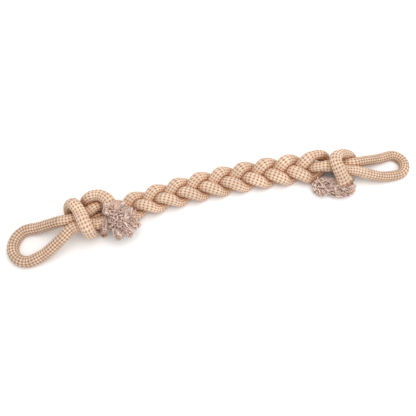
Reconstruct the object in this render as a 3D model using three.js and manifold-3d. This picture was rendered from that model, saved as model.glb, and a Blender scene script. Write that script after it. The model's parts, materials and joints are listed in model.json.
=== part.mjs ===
// Rope tug toy for a dog. One jacketed cotton rope is laid to and fro in three runs. The runs are
// plaited together, the two turns between them stand out as loop handles, and each end of the rope is
// wound round the neck of the loop beside it and frayed out into a tassel.
//
// Millimetres. +X runs along the plait, +Y across it and +Z up. The origin is the middle of the toy's
// footprint, on the surface that it lies on.

import * as THREE from "three";
import { mergeVertices } from "three/addons/utils/BufferGeometryUtils.js";
import Module from "manifold-3d";

const wasm = await Module();
wasm.setup();

// Driving dimensions
const ROPE_DIAMETER = 15; // over the cover, where nothing squeezes the rope
const CORE_DIAMETER = 9; // bore of the cover
const CORE_CLEARANCE = 0.3; // all round, between the cover and the core
const LEFT_LOOP_LENGTH = 91; // from the middle of the knot to the middle of the rope at the tip
const LEFT_LOOP_WIDTH = 42; // between the middles of the two legs
const RIGHT_LOOP_LENGTH = 84;
const RIGHT_LOOP_WIDTH = 29;
const TASSEL_LENGTH = 22; // longest yarns, beyond the end of the cover
const BOW_RADIUS = 830; // of the wide arc that the plait lies in
const BEND_CLEARANCE = 0.4; // between the two sides of a rope where the toy bends
const TASSEL_CLEARANCE = 0.5; // between a tassel and the strands that it lies on

// Proportions of the plait and the knots, in rope diameters
const PLAIT_STEPS = 9; // bumps along one edge of the plait
const PLAIT_STEP = 1.9; // from one edge bump to the next
const PLAIT_SWING = 0.84; // strand middle, either side of the plait's middle
const PLAIT_RISE = 0.52; // strand middle, above and below the plait's middle
const PLAIT_GIRTH = 0.85; // strand width in the plait
const PLAIT_FLATNESS = 0.66; // strand thickness over its width
const PLAIT_TAPER = 0.12; // how much smaller the plait is at its left end, where it is pulled tighter
const LEFT_LEAD = 2.9; // from the left knot to the start of the plait
const RIGHT_LEAD = 2.1; // from the end of the plait to the right knot
const RIGHT_SIDESTEP = 0.55; // how far the right knot lies to the near side of the arc
const KNOT_AXIS_HEIGHT = 1.4; // middle of the bundle that the turns go round
const FLAT_DEPTH = 0.1; // rope pressed flat by the surface under it
const PLAIT_TWIST = THREE.MathUtils.degToRad(14); // roll of the plait at either end

// Where the toy bends, in rope diameters
const MIDDLE_BEND = 2; // from the middle of the toy to each sideways bend of the plait
const KNOT_BEND = 5.8; // from the middle of the toy to the lift of each knot
const LOOP_BEND = 2.1; // from the middle of a knot to the swing of its loop
const MIDDLE_KNUCKLE = 1.42; // radius of each bend, wide enough for its range
const KNOT_KNUCKLE = 1.08;
const LOOP_KNUCKLE = 0.74;
const TAIL_KNUCKLE = 0.66;

const COVER_SIDES = 8;
const CORE_SIDES = 6;
const RING_STEP = 0.6; // between rings along the rope, in rope diameters
const KNUCKLE_SIDES = 24;
const TASSEL_YARNS = 22;
const FAR = 2000;

const D = ROPE_DIAMETER;
const STEP = PLAIT_STEP * D;
const PLAIT_LENGTH = PLAIT_STEPS * STEP;
const KNOT_SPACING = PLAIT_LENGTH + (LEFT_LEAD + RIGHT_LEAD) * D;
const LEFT_KNOT = -KNOT_SPACING / 2;
const RIGHT_KNOT = KNOT_SPACING / 2;
const PLAIT_START = LEFT_KNOT + LEFT_LEAD * D;
const PLAIT_END = PLAIT_START + PLAIT_LENGTH;
const GOLDEN_ANGLE = Math.PI * (3 - Math.sqrt(5));

// Route of the rope. A way point holds a place, the rope's width there as a share of its free diameter,
// its thickness over its width, and the direction that it is pressed in.

// How far the toy's middle line lies to the side: an arc between the knots, half as steep in the loops.
function middleLine(along) {
  const inside = THREE.MathUtils.clamp(along, LEFT_KNOT, RIGHT_KNOT);
  const outside = Math.abs(along - inside);
  const arc = (inside ** 2 + outside * Math.abs(inside)) / (2 * BOW_RADIUS);
  const step = THREE.MathUtils.smoothstep(along, RIGHT_KNOT - 3.5 * D, RIGHT_KNOT + 1.5 * D);
  return -arc - RIGHT_SIDESTEP * D * step;
}

// A place along, across and above the toy, and the direction of the toy there.
function lying(along, across, up) {
  return new THREE.Vector3(along, across + middleLine(along), up);
}

function bowTurn(along) {
  return Math.atan((middleLine(along + 1) - middleLine(along - 1)) / 2);
}

// A list of way points in one knot: along, across and up in rope diameters, then girth and flatness.
function knotWay(knot, rows) {
  return rows.map(([along, across, up, girth, flatness]) => ({
    at: lying(knot + along * D, across * D, up * D),
    girth,
    flatness,
    press: new THREE.Vector3(0, across, up - KNOT_AXIS_HEIGHT),
  }));
}

// One run of the plait between two places along it. Strands follow each other by a third of a turn.
function plaitWay(strand, from, to) {
  const spacing = STEP / 3;
  const count = Math.round(Math.abs(to - from) / spacing);
  const way = [];
  for (let i = 0; i <= count; i += 1) {
    const x = from + ((to - from) * i) / count;
    const turn = (2 * Math.PI * (x - PLAIT_START)) / (3 * STEP);
    const phase = turn + Math.PI / 2 + (strand * 2 * Math.PI) / 3;
    const roll = (PLAIT_TWIST * 2 * x) / PLAIT_LENGTH;
    const size = 1 - (PLAIT_TAPER * Math.max(0, PLAIT_END - x)) / PLAIT_LENGTH;
    const across = PLAIT_SWING * Math.sin(phase);
    const rise = PLAIT_RISE * Math.sin(2 * phase);
    const tilt = Math.SQRT1_2 * PLAIT_SWING * Math.abs(Math.sin(roll));
    const height = PLAIT_RISE * Math.cos(roll) + tilt + (PLAIT_GIRTH * PLAIT_FLATNESS) / 2;
    const y = size * (across * Math.cos(roll) - rise * Math.sin(roll));
    const z = size * (height + across * Math.sin(roll) + rise * Math.cos(roll)) - FLAT_DEPTH;
    way.push({
      at: lying(x, y * D, z * D),
      girth: size * PLAIT_GIRTH,
      flatness: PLAIT_FLATNESS,
      press: new THREE.Vector3(0, -Math.sin(roll), Math.cos(roll)),
    });
  }
  return way;
}

// A loop from its far leg round the tip to its near leg. The legs come down from the knot to the surface.
const LEG_OUT = 0.9;
const LEG_ACROSS = 0.38;
const LEFT_LEG_UP = 1.63;
const RIGHT_LEG_UP = 1.16;
const LEG_DOWN = 0.75; // share of the loop's length where its legs reach the surface
const LEG_BOW = 0.25; // how far the near leg of a loop bows out halfway along
const LEFT_LOOP = {
  length: LEFT_LOOP_LENGTH,
  width: LEFT_LOOP_WIDTH,
  legUp: LEFT_LEG_UP,
  girth: 0.9,
  tipTurn: 0,
};
const RIGHT_LOOP = {
  length: RIGHT_LOOP_LENGTH,
  width: RIGHT_LOOP_WIDTH,
  legUp: RIGHT_LEG_UP,
  girth: 0.82, // pulled tighter
  tipTurn: 0.17, // to the far side
};

function loopHeight(out, { length, legUp, girth }) {
  const start = LEG_OUT * D;
  const share = THREE.MathUtils.smoothstep((out - start) / (length - start), 0, LEG_DOWN);
  return (legUp + (girth / 2 - FLAT_DEPTH - legUp) * share) * D;
}

function loopWay(knot, outward, loop) {
  const { length, girth } = loop;
  const radius = loop.width / 2;
  const start = LEG_OUT * D;
  const way = [];
  const add = (out, across) => {
    const turned = across + loop.tipTurn * D * ((out - start) / (length - start)) ** 2;
    way.push({
      at: lying(knot + outward * out, turned, loopHeight(out, loop)),
      girth: Math.min(girth, 0.74 + 0.2 * (out / D - LEG_OUT)),
      flatness: 1,
      press: new THREE.Vector3(0, 0, 1),
    });
  };
  const turns = 6;
  const lean = 0.2;
  for (const side of [1, -1]) {
    const legEnd = length - radius;
    for (const share of side > 0 ? [0.25, 0.5, 0.75] : [0.75, 0.5, 0.25]) {
      if (side < 0 && share === 0.75) {
        for (let i = 0; i <= turns; i += 1) {
          const angle = lean + ((Math.PI - 2 * lean) * i) / turns;
          add(legEnd + radius * Math.sin(angle), radius * Math.cos(angle));
        }
      }
      const bow = side < 0 ? LEG_BOW * D * Math.sin(Math.PI * share) : 0;
      const across = LEG_ACROSS * D + (radius - LEG_ACROSS * D) * share + bow;
      add(start + (legEnd - start) * share, side * across);
    }
  }
  return way;
}

const rightTail = knotWay(RIGHT_KNOT, [
  [-0.32, -1.2, 0.95, 0.88, 0.8],
  [-0.43, -1.2, 1.3, 0.88, 0.76],
]);
const rightTurns = knotWay(RIGHT_KNOT, [
  [-0.58, -1.08, 1.68, 0.88, 0.7],
  [-0.76, -0.66, 2.08, 0.9, 0.72],
  [-0.8, -0.06, 2.22, 0.9, 0.72],
  [-0.6, 0.44, 2.16, 0.9, 0.72],
  [-0.14, 0.88, 1.92, 0.9, 0.72],
  [0.55, 1.14, 1.42, 0.88, 0.72],
  [1.02, 1.12, 0.9, 0.86, 0.72],
  [1.14, 0.86, 0.46, 0.82, 0.72],
  [0.78, 0.56, 0.24, 0.78, 0.72],
  [0.2, 0.46, 0.2, 0.76, 0.72],
  [-0.4, 0.62, 0.2, 0.76, 0.72],
  [-0.84, 0.92, 0.36, 0.78, 0.72],
  [-1.14, 1.14, 0.8, 0.82, 0.7],
  [-1.54, 1.04, 1.28, 0.88, 0.7],
  [-2.08, 0.86, 1.5, 0.92, 0.72],
]);
const leftLegA = knotWay(LEFT_KNOT, [
  [2, 0.74, 1.36, 0.84, 0.8],
  [1.2, 0.7, 1.72, 0.78, 0.92],
  [0.1, 0.4, 1.66, 0.7, 1],
  [-LEG_OUT, LEG_ACROSS, LEFT_LEG_UP, 0.76, 1],
]);
const leftLegB = knotWay(LEFT_KNOT, [
  [-LEG_OUT, -LEG_ACROSS, LEFT_LEG_UP, 0.76, 1],
  [0.1, -0.395, 1.62, 0.7, 1],
  [1.1, -0.68, 1.42, 0.74, 1],
  [2, -0.66, 1.34, 0.82, 0.8],
]);
const rightLegB = knotWay(RIGHT_KNOT, [
  [-2.1, -0.1, 1.24, 0.88, 0.74],
  [-1.4, -0.18, 1.5, 0.9, 0.78],
  [-0.7, -0.12, 1.43, 0.8, 0.78],
  [0, -0.3, 1.26, 0.74, 0.95],
  [LEG_OUT, -LEG_ACROSS, RIGHT_LEG_UP, 0.76, 1],
]);
const rightLegC = knotWay(RIGHT_KNOT, [
  [LEG_OUT, LEG_ACROSS, RIGHT_LEG_UP, 0.76, 1],
  [0.2, 0.46, 1, 0.74, 0.85],
  [-0.45, 0.46, 0.79, 0.74, 0.72],
  [-1, 0.34, 0.74, 0.76, 0.72],
  [-1.52, 0.12, 0.68, 0.78, 0.7],
]);
const leftTurns = knotWay(LEFT_KNOT, [
  [2, -0.04, 0.68, 0.82, 0.8],
  [1.2, 0.08, 0.94, 0.74, 1],
  [0.3, 0, 1.03, 0.7, 1],
  [-0.3, 0.1, 0.95, 0.7, 1],
  [-0.76, 0.62, 0.76, 0.74, 0.95],
  [-0.96, 1.3, 1.06, 0.82, 0.88],
  [-0.8, 1.56, 1.76, 0.88, 0.8],
  [-0.46, 1.38, 2.34, 0.9, 0.78],
  [-0.2, 0.84, 2.5, 0.9, 0.76],
  [0, 0.2, 2.46, 0.9, 0.76],
  [0.12, -0.42, 2.44, 0.9, 0.76],
  [0.24, -1, 2.12, 0.9, 0.76],
  [0.32, -1.21, 1.5, 0.9, 0.76],
  [0.4, -1.06, 0.9, 0.9, 0.76],
  [0.5, -0.6, 0.33, 0.9, 0.74],
  [0.56, 0, 0.24, 0.88, 0.74],
  [0.58, 0.6, 0.33, 0.9, 0.74],
  [0.54, 1.14, 0.84, 0.9, 0.76],
  [0.52, 1.38, 1.42, 0.9, 0.78],
  [0.64, 1.46, 1.94, 0.9, 0.8],
  [1.06, 1.42, 2.28, 0.9, 0.82],
  [1.66, 1.2, 2.42, 0.9, 0.86],
  [2.12, 0.76, 2.46, 0.9, 0.88],
  [2.36, 0.28, 2.4, 0.9, 0.9],
]);
const leftTail = knotWay(LEFT_KNOT, [
  [2.46, -0.14, 2.26, 0.9, 0.9],
  [2.52, -0.5, 2.1, 0.9, 0.9],
]);

// The whole rope from end to end, and the number of the way point that each stretch starts at.
const stretches = {
  rightTail,
  rightTurns,
  runA: plaitWay(0, PLAIT_END - STEP / 3, PLAIT_START),
  leftLegA,
  leftLoop: loopWay(LEFT_KNOT, -1, LEFT_LOOP),
  leftLegB,
  runB: plaitWay(1, PLAIT_START, PLAIT_END - STEP / 3),
  rightLegB,
  rightLoop: loopWay(RIGHT_KNOT, 1, RIGHT_LOOP).reverse(),
  rightLegC,
  runC: plaitWay(2, PLAIT_END, PLAIT_START),
  leftTurns,
  leftTail,
};
const route = [];
const firstOf = {};
const lastOf = {};
for (const [name, way] of Object.entries(stretches)) {
  firstOf[name] = route.length;
  route.push(...way);
  lastOf[name] = route.length - 1;
}
const middle = new THREE.CatmullRomCurve3(route.map((way) => way.at), false, "centripetal");

function stationAt(place) {
  const index = Math.min(Math.floor(place), route.length - 2);
  const share = place - index;
  const before = route[index];
  const after = route[index + 1];
  const press = before.press.clone().normalize();
  const nextPress = after.press.clone().normalize();
  if (press.dot(nextPress) < 0) {
    nextPress.negate();
  }
  return {
    at: middle.getPoint(place / (route.length - 1)),
    along: middle.getTangent(place / (route.length - 1)),
    girth: THREE.MathUtils.lerp(before.girth, after.girth, share),
    flatness: THREE.MathUtils.lerp(before.flatness, after.flatness, share),
    press: press.lerp(nextPress, share),
  };
}

// Rings of the rope between two way points.
function stationsBetween(first, last) {
  const stations = [];
  for (let i = first; i < last; i += 1) {
    const span = route[i].at.distanceTo(route[i + 1].at);
    const parts = Math.max(1, Math.round(span / (RING_STEP * D)));
    for (let j = 0; j < parts; j += 1) {
      stations.push(stationAt(i + j / parts));
    }
  }
  stations.push(stationAt(last));
  return stations;
}

function solidOf(geometry) {
  const bare = new THREE.BufferGeometry();
  bare.setAttribute("position", geometry.getAttribute("position"));
  bare.setIndex(geometry.getIndex());
  const merged = mergeVertices(bare, 1e-5);
  const mesh = new wasm.Mesh({
    numProp: 3,
    vertProperties: new Float32Array(merged.getAttribute("position").array),
    triVerts: new Uint32Array(merged.getIndex().array),
  });
  return new wasm.Manifold(mesh);
}

// Rings of points round the rope. Its free diameter is squeezed with the rope and then grown all round.
function ringsOf(stations, diameter, grown, sides) {
  let across = new THREE.Vector3(0, 0, 1);
  return stations.map((station) => {
    across = across.clone().addScaledVector(station.along, -across.dot(station.along));
    if (across.lengthSq() < 1e-4) {
      across.set(0, 1, 0).addScaledVector(station.along, -station.along.y);
    }
    across.normalize();
    const over = new THREE.Vector3().crossVectors(station.along, across);
    const press = station.press.clone().addScaledVector(station.along, -station.press.dot(station.along));
    press.normalize();
    const ring = [];
    for (let side = 0; side < sides; side += 1) {
      const angle = (2 * Math.PI * (side + 0.5)) / sides;
      const offset = across.clone().multiplyScalar(Math.cos(angle)).addScaledVector(over, Math.sin(angle));
      offset.multiplyScalar((station.girth * diameter) / 2);
      offset.addScaledVector(press, (station.flatness - 1) * offset.dot(press));
      offset.setLength(offset.length() + grown);
      ring.push(offset.add(station.at));
    }
    return ring;
  });
}

// A closed rod along the rope.
function rod(stations, diameter, grown, sides) {
  const rings = ringsOf(stations, diameter, grown, sides);
  const positions = rings.flat().flatMap((point) => point.toArray());
  const index = [];
  const last = stations.length - 1;
  for (let ring = 0; ring < last; ring += 1) {
    for (let side = 0; side < sides; side += 1) {
      const next = (side + 1) % sides;
      const a = ring * sides + side;
      const b = ring * sides + next;
      index.push(a, b, b + sides, a, b + sides, a + sides);
    }
  }
  for (let side = 1; side < sides - 1; side += 1) {
    index.push(0, side + 1, side);
    index.push(last * sides, last * sides + side, last * sides + side + 1);
  }
  const geometry = new THREE.BufferGeometry();
  geometry.setAttribute("position", new THREE.Float32BufferAttribute(positions, 3));
  geometry.setIndex(index);
  return solidOf(geometry);
}

// Space beyond a bend, on the side that swings. The other side ends in a round knuckle.

function knuckle(radius, axis) {
  const geometry = new THREE.CylinderGeometry(radius, radius, FAR, KNUCKLE_SIDES);
  if (axis === "z") {
    geometry.rotateX(Math.PI / 2);
  }
  if (axis === "x") {
    geometry.rotateZ(Math.PI / 2);
  }
  return geometry;
}

// outward is -1 towards the left loop and 1 towards the right loop.
function beyond(outward, axis, x, z, radius, clearance) {
  const half = new THREE.BoxGeometry(FAR, FAR, FAR);
  half.translate((outward * FAR) / 2, 0, 0);
  const pin = knuckle(radius * D + clearance, axis);
  const at = lying(x, 0, z);
  for (const geometry of [half, pin]) {
    geometry.rotateZ(bowTurn(x));
    geometry.translate(at.x, at.y, at.z);
  }
  return solidOf(half).subtract(solidOf(pin));
}

// A tail swings about a line along the toy. Only the space close to the tail belongs to it.
function beyondTail(place, reach, clearance) {
  const { at, along } = stationAt(place);
  const outward = along.clone().multiplyScalar(reach);
  const size = 1.9 * D;
  const geometry = new THREE.BoxGeometry(size, size, size);
  geometry.translate(0, 0, size / 2);
  geometry.applyQuaternion(new THREE.Quaternion().setFromUnitVectors(new THREE.Vector3(0, 0, 1), outward));
  geometry.translate(at.x, at.y, at.z);
  const pin = knuckle(TAIL_KNUCKLE * D + clearance, "x");
  pin.translate(at.x, at.y, at.z);
  return solidOf(geometry).subtract(solidOf(pin));
}

const MIDDLE_HEIGHT = 0.72 * D;
const KNOT_BEND_HEIGHT = 0.85 * D;
const LEFT_LOOP_HEIGHT = loopHeight(LOOP_BEND * D, LEFT_LOOP);
const RIGHT_LOOP_HEIGHT = loopHeight(LOOP_BEND * D, RIGHT_LOOP);
const LEFT_TAIL_PLACE = lastOf.leftTurns - 0.3;
const RIGHT_TAIL_PLACE = firstOf.rightTurns + 0.4;

// Each bend twice: as the space kept clear of the inner side, and as the space for the outer side.
function bend(make) {
  return { inner: make(0), outer: make(BEND_CLEARANCE) };
}

const bends = {
  plaitLeft: bend((gap) => beyond(-1, "z", -MIDDLE_BEND * D, MIDDLE_HEIGHT, MIDDLE_KNUCKLE, gap)),
  plaitRight: bend((gap) => beyond(1, "z", MIDDLE_BEND * D, MIDDLE_HEIGHT, MIDDLE_KNUCKLE, gap)),
  leftKnot: bend((gap) => beyond(-1, "y", -KNOT_BEND * D, KNOT_BEND_HEIGHT, KNOT_KNUCKLE, gap)),
  rightKnot: bend((gap) => beyond(1, "y", KNOT_BEND * D, KNOT_BEND_HEIGHT, KNOT_KNUCKLE, gap)),
  leftLoop: bend((gap) => beyond(-1, "y", LEFT_KNOT - LOOP_BEND * D, LEFT_LOOP_HEIGHT, LOOP_KNUCKLE, gap)),
  rightLoop: bend((gap) => beyond(1, "y", RIGHT_KNOT + LOOP_BEND * D, RIGHT_LOOP_HEIGHT, LOOP_KNUCKLE, gap)),
  leftTail: bend((gap) => beyondTail(LEFT_TAIL_PLACE, 1, gap)),
  rightTail: bend((gap) => beyondTail(RIGHT_TAIL_PLACE, -1, gap)),
};
const surface = solidOf(new THREE.BoxGeometry(FAR, FAR, FAR).translate(0, 0, -FAR / 2));

// Finishes
const COVER_COLOUR = 0xc9b298; // tan and cream yarns taken together
const CORE_COLOUR = 0xcfc9c4; // reclaimed white and grey yarn

function cottonCover() {
  return new THREE.MeshStandardMaterial({ color: COVER_COLOUR, roughness: 0.95, metalness: 0 });
}

function cottonCore() {
  return new THREE.MeshStandardMaterial({ color: CORE_COLOUR, roughness: 1, metalness: 0 });
}

const rope = new THREE.Group();
rope.name = "rope";

function addPiece(name, solid, material) {
  const shape = solid.subtract(surface);
  const mesh = shape.getMesh();
  const geometry = new THREE.BufferGeometry();
  geometry.setAttribute("position", new THREE.Float32BufferAttribute(mesh.vertProperties, 3));
  geometry.setIndex(new THREE.Uint32BufferAttribute(mesh.triVerts, 1));
  geometry.computeVertexNormals();
  const piece = new THREE.Mesh(geometry, material);
  piece.name = name;
  rope.add(piece);
}

function largestBody(solid) {
  const bodies = solid.decompose();
  return bodies.reduce((best, body) => (body.volume() > best.volume() ? body : best));
}

// Cover and core of one stretch of rope, kept where the named bends leave room for it.
function addStretch(name, first, last, insideOf, outsideOf) {
  const stations = stationsBetween(first, last);
  const bore = rod(stations, CORE_DIAMETER, 0, CORE_SIDES);
  const layers = {
    cover: [rod(stations, ROPE_DIAMETER, 0, COVER_SIDES).subtract(bore), cottonCover()],
    core: [rod(stations, CORE_DIAMETER, -CORE_CLEARANCE, CORE_SIDES), cottonCore()],
  };
  for (const [layer, [solid, material]] of Object.entries(layers)) {
    let kept = solid;
    for (const bendName of insideOf) {
      kept = kept.intersect(bends[bendName].outer);
    }
    for (const bendName of outsideOf) {
      kept = kept.subtract(bends[bendName].inner);
    }
    addPiece(`${name}_${layer}`, largestBody(kept), material);
  }
}

// The three runs: each from the end of one knot to the end of the other.
const runs = {
  a: [firstOf.rightTail, firstOf.leftLoop + 2],
  b: [lastOf.leftLoop - 2, firstOf.rightLoop + 2],
  c: [lastOf.rightLoop - 2, lastOf.leftTail],
};
for (const [letter, [first, last]] of Object.entries(runs)) {
  addStretch(`plait_middle_strand_${letter}`, first, last, [], ["plaitLeft", "plaitRight"]);
  addStretch(`plait_left_strand_${letter}`, first, last, ["plaitLeft"], ["leftKnot"]);
  addStretch(`plait_right_strand_${letter}`, first, last, ["plaitRight"], ["rightKnot"]);
}
addStretch("left_knot_leg_a", ...runs.a, ["leftKnot"], ["leftLoop"]);
addStretch("left_knot_leg_b", ...runs.b, ["leftKnot"], ["leftLoop"]);
addStretch("left_knot_turns", ...runs.c, ["leftKnot"], ["leftTail"]);
addStretch("right_knot_leg_b", ...runs.b, ["rightKnot"], ["rightLoop"]);
addStretch("right_knot_leg_c", ...runs.c, ["rightKnot"], ["rightLoop"]);
addStretch("right_knot_turns", ...runs.a, ["rightKnot"], ["rightTail"]);
addStretch("left_loop", lastOf.leftLegA - 1, firstOf.leftLegB + 1, ["leftLoop"], []);
addStretch("right_loop", lastOf.rightLegB - 1, firstOf.rightLegC + 1, ["rightLoop"], []);

// A tassel is the core, let out of the end of the cover and fanned out in locks of yarn.
function tasselLocks(root, axis, wide, spread, stretch) {
  const thin = new THREE.Vector3().crossVectors(axis, wide).normalize();
  const locks = [];
  for (let i = 0; i < TASSEL_YARNS; i += 1) {
    const polar = spread * Math.sqrt((i + 0.5) / TASSEL_YARNS);
    const round = i * GOLDEN_ANGLE;
    const direction = axis.clone().multiplyScalar(Math.cos(polar));
    direction.addScaledVector(wide, stretch * Math.sin(polar) * Math.cos(round));
    direction.addScaledVector(thin, Math.sin(polar) * Math.sin(round)).normalize();
    const length = TASSEL_LENGTH * (0.86 + 0.14 * Math.cos(3 * i));
    const geometry = new THREE.CylinderGeometry(0.13 * D, 0.2 * D, length, 5);
    geometry.translate(0, length / 2, 0);
    geometry.applyQuaternion(new THREE.Quaternion().setFromUnitVectors(new THREE.Vector3(0, 1, 0), direction));
    geometry.translate(root.x, root.y, root.z);
    locks.push(solidOf(geometry));
  }
  return wasm.Manifold.union(locks);
}

// Stations of a tail, with one more a little past the end of its cover.
function pastEnd(stations, atStart) {
  const end = atStart ? stations[0] : stations[stations.length - 1];
  const past = { ...end, at: end.at.clone().addScaledVector(end.along, (atStart ? -0.1 : 0.1) * D) };
  return atStart ? [past, ...stations] : [...stations, past];
}

function addTail(name, first, last, end, bendName, axis, wide, spread, stretch, neighbours) {
  const stations = stationsBetween(first, last);
  const inside = pastEnd(stations, end === first);
  const bore = rod(inside, CORE_DIAMETER, 0, CORE_SIDES);
  const cover = rod(stations, ROPE_DIAMETER, 0, COVER_SIDES).subtract(bore).intersect(bends[bendName].outer);
  addPiece(`${name}_tail_cover`, largestBody(cover), cottonCover());
  const core = rod(inside, CORE_DIAMETER, -CORE_CLEARANCE, CORE_SIDES);
  const root = route[end].at.clone().addScaledVector(axis, 0.24 * D);
  let locks = tasselLocks(root, axis, wide, spread, stretch);
  locks = locks.subtract(rod(stations, ROPE_DIAMETER, TASSEL_CLEARANCE, COVER_SIDES).subtract(core));
  for (const [from, to] of neighbours) {
    locks = locks.subtract(rod(stationsBetween(from, to), ROPE_DIAMETER, TASSEL_CLEARANCE, COVER_SIDES));
  }
  const tassel = core.intersect(bends[bendName].outer).add(locks);
  addPiece(`${name}_tassel`, largestBody(tassel), cottonCore());
}

// Least gap of a wound stretch to itself, between points more than a few diameters apart along the rope.
const APART = 2.6;

function leastGap(first, last) {
  const stations = stationsBetween(first, last);
  const rings = ringsOf(stations, ROPE_DIAMETER, 0, COVER_SIDES);
  const lengths = [0];
  for (let i = 1; i < stations.length; i += 1) {
    lengths.push(lengths[i - 1] + stations[i].at.distanceTo(stations[i - 1].at));
  }
  let least = Infinity;
  for (let i = 0; i < rings.length; i += 1) {
    for (let j = i + 1; j < rings.length; j += 1) {
      if (lengths[j] - lengths[i] > APART * D) {
        for (const point of rings[i]) {
          least = Math.min(least, ...rings[j].map((other) => other.distanceTo(point)));
        }
      }
    }
  }
  return least;
}

console.log(`left turns: least gap ${leastGap(firstOf.leftTurns, lastOf.leftTail).toFixed(2)} mm`);
console.log(`right turns: least gap ${leastGap(firstOf.rightTail, lastOf.rightTurns).toFixed(2)} mm`);

const alongToy = new THREE.Vector3(1, 0, 0);
addTail(
  "left",
  lastOf.leftTurns - 1,
  lastOf.leftTail,
  lastOf.leftTail,
  "leftTail",
  new THREE.Vector3(0.3, -0.75, -0.6).normalize(),
  alongToy,
  1.25,
  1,
  [
    [firstOf.leftLegA - 6, lastOf.leftLegA],
    [firstOf.leftLegB, lastOf.leftLegB + 6],
    [firstOf.leftTurns - 6, lastOf.leftTurns - 1],
  ],
);
addTail(
  "right",
  firstOf.rightTail,
  firstOf.rightTurns + 1,
  firstOf.rightTail,
  "rightTail",
  new THREE.Vector3(-0.55, -0.4, -0.73).normalize(),
  alongToy,
  1.2,
  1.6,
  [
    [firstOf.rightTurns + 1, lastOf.rightTurns + 6],
    [firstOf.rightLegB - 6, lastOf.rightLegB],
    [firstOf.rightLegC, lastOf.rightLegC + 6],
  ],
);

// Put the origin in the middle of the footprint.
const footprint = new THREE.Box3().setFromObject(rope);
const centre = footprint.getCenter(new THREE.Vector3());
rope.position.set(-centre.x, -centre.y, -footprint.min.z);

const toy = new THREE.Group();
toy.name = "rope_tug_toy";
toy.add(rope);

export default toy;
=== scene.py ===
"""A rope tug toy for a dog, dressed over its solids: one braided rope, plaited, knotted and frayed.

The rope is followed from its right end to its left end: right tail, turns of the right knot, run A of the
plait, left loop, run B, right loop, run C, turns of the left knot, left tail. Everything is in metres, in the
frame of the solids: +X along the plait, +Y across it, +Z up, and the surface that the toy lies on is z = 0.
"""

import json
import logging
import math
from dataclasses import dataclass
from enum import Enum

import bpy
import numpy as np
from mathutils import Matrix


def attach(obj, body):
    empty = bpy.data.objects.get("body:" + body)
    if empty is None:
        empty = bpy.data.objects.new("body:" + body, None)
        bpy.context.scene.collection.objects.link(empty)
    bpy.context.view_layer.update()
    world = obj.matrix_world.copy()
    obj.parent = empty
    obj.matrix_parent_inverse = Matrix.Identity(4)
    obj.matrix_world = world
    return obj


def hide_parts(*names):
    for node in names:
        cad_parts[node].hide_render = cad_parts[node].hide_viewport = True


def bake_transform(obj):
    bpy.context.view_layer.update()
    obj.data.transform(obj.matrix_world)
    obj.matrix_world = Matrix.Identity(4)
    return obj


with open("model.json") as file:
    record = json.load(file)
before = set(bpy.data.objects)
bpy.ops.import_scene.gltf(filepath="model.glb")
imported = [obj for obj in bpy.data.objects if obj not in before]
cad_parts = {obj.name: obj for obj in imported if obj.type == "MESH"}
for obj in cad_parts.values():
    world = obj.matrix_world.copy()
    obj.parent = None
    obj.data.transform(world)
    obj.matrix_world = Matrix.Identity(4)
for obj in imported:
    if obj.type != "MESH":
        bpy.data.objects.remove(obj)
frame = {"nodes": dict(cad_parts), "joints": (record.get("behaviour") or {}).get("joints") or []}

log = logging.getLogger("rope_tug_toy")

GOLDEN_ANGLE = math.pi * (3 - math.sqrt(5))
WAVE_PERIOD = math.pi / 5  # from band to band of a wave texture whose scale is one
GRID_ROWS = 3  # squares of a loose thread's grid between two of its knots
GRID_SIZE = 0.000815  # usual size of such a square
ODD_WAYS = np.array([[0.31, 0.17, 0.93], [0.37, 0.21, 0.9]])  # directions that hardly any thread lies along
SENSOR_WIDTH = 36.0  # of the camera, in millimetres
RANGE_INPUTS = ("Value", 1, 2, 3, 4)  # of a map range: what is mapped, from which two values, to which two
MIX_INPUTS = (0, 6, 7)  # of a mix of colours: the share of the second colour, then the two colours
MIX_RESULT = 2

Pair = tuple[float, float]
Triple = tuple[float, float, float]
Rows = tuple[tuple[float, ...], ...]

# Way points in each knot, in rope diameters from the middle of the knot: along, across, up, then the rope's
# width there and its thickness over its width.
RIGHT_TAIL: Rows = ((-0.32, -1.2, 0.95, 0.88, 0.8), (-0.43, -1.2, 1.3, 0.88, 0.76))
RIGHT_TURNS: Rows = (
    (-0.58, -1.08, 1.68, 0.88, 0.7),
    (-0.76, -0.66, 2.08, 0.9, 0.72),
    (-0.8, -0.06, 2.22, 0.9, 0.72),
    (-0.6, 0.44, 2.16, 0.9, 0.72),
    (-0.14, 0.88, 1.92, 0.9, 0.72),
    (0.55, 1.14, 1.42, 0.88, 0.72),
    (1.02, 1.12, 0.9, 0.86, 0.72),
    (1.14, 0.86, 0.46, 0.82, 0.72),
    (0.78, 0.56, 0.24, 0.78, 0.72),
    (0.2, 0.46, 0.2, 0.76, 0.72),
    (-0.4, 0.62, 0.2, 0.76, 0.72),
    (-0.84, 0.92, 0.36, 0.78, 0.72),
    (-1.14, 1.14, 0.8, 0.82, 0.7),
    (-1.54, 1.04, 1.28, 0.88, 0.7),
    (-2.08, 0.86, 1.5, 0.92, 0.72),
)
LEFT_LEG_A: Rows = (
    (2, 0.74, 1.36, 0.84, 0.8),
    (1.2, 0.7, 1.72, 0.78, 0.92),
    (0.1, 0.4, 1.66, 0.7, 1),
    (-0.9, 0.38, 1.63, 0.76, 1),
)
LEFT_LEG_B: Rows = (
    (-0.9, -0.38, 1.63, 0.76, 1),
    (0.1, -0.395, 1.62, 0.7, 1),
    (1.1, -0.68, 1.42, 0.74, 1),
    (2, -0.66, 1.34, 0.82, 0.8),
)
RIGHT_LEG_B: Rows = (
    (-2.1, -0.1, 1.24, 0.88, 0.74),
    (-1.4, -0.18, 1.5, 0.9, 0.78),
    (-0.7, -0.12, 1.43, 0.8, 0.78),
    (0, -0.3, 1.26, 0.74, 0.95),
    (0.9, -0.38, 1.16, 0.76, 1),
)
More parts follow.
